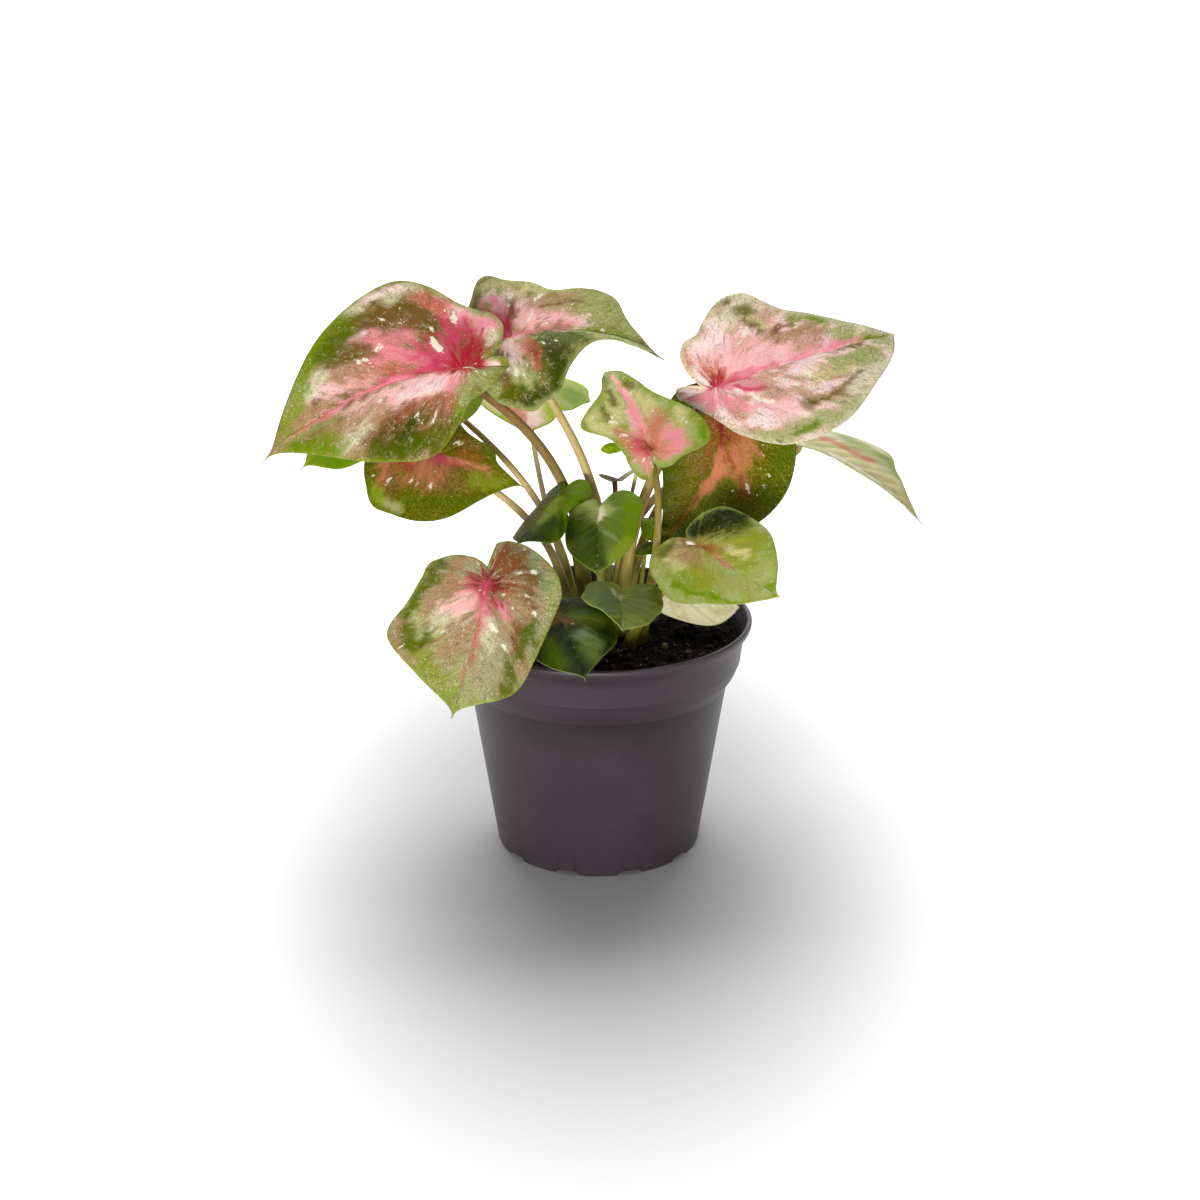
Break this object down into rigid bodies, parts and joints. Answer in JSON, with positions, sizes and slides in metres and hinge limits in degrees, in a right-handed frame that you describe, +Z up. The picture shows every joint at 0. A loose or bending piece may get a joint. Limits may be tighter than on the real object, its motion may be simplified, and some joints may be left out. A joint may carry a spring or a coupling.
{
  "type": "potted caladium",
  "caption": "Caladium with spreading heart-shaped leaves on arching stalks, growing in a round tapered nursery pot filled with soil.",
  "frame": {"origin": "centre of the flat disc under the pot, on the surface the pot stands on", "axes": "+Z up along the pot's axis; -Y is the front, where a low leaf hangs over the rim; +X is to the right from the front"},
  "size_m": [0.2554, 0.1647, 0.2204],
  "materials": {
    "pot_plastic": "moulded polypropylene, satin brown-grey",
    "potting_soil": "dark moist peat, rough",
    "tuber_skin": "brown fibrous skin",
    "leaf_stalk": "smooth fleshy stalk, olive to brown",
    "crimson_leaf": "satin leaf, crimson middle with a mottled green margin",
    "green_leaf": "satin green leaf",
    "olive_leaf": "satin olive leaf with salmon veins",
    "pale_leaf": "satin cream leaf with a green edge"
  },
  "bodies": {
    "root": {"pot": "pot_plastic", "soil": "potting_soil", "tuber": "tuber_skin", "blade_great_left": "crimson_leaf", "blade_top_centre": "crimson_leaf", "blade_top_right": "crimson_leaf", "blade_rim_left": "crimson_leaf", "blade_hanging_right": "olive_leaf", "blade_under_left": "olive_leaf", "blade_edge_on_back": "olive_leaf", "blade_pale_far_right": "pale_leaf", "blade_wilted_cream": "pale_leaf", "blade_small_middle": "green_leaf", "blade_low_right": "green_leaf", "blade_green_heart": "green_leaf", "blade_green_twin": "green_leaf", "blade_dark_front": "green_leaf", "blade_rolled_green": "green_leaf", "blade_behind_left": "green_leaf", "blade_back_centre": "green_leaf", "blade_lime_spoon": "green_leaf", "blade_round_green": "green_leaf", "blade_dark_bud": "green_leaf", "stalk_great_left": "leaf_stalk", "stalk_top_centre": "leaf_stalk", "stalk_top_right": "leaf_stalk", "stalk_rim_left": "leaf_stalk", "stalk_hanging_right": "leaf_stalk", "stalk_under_left": "leaf_stalk", "stalk_edge_on_back": "leaf_stalk", "stalk_pale_far_right": "leaf_stalk", "stalk_wilted_cream": "leaf_stalk", "stalk_small_middle": "leaf_stalk", "stalk_low_right": "leaf_stalk", "stalk_green_heart": "leaf_stalk", "stalk_green_twin": "leaf_stalk", "stalk_dark_front": "leaf_stalk", "stalk_rolled_green": "leaf_stalk", "stalk_behind_left": "leaf_stalk", "stalk_back_centre": "leaf_stalk", "stalk_lime_spoon": "leaf_stalk", "stalk_round_green": "leaf_stalk", "stalk_dark_bud": "leaf_stalk"}
  },
  "joints": []
}
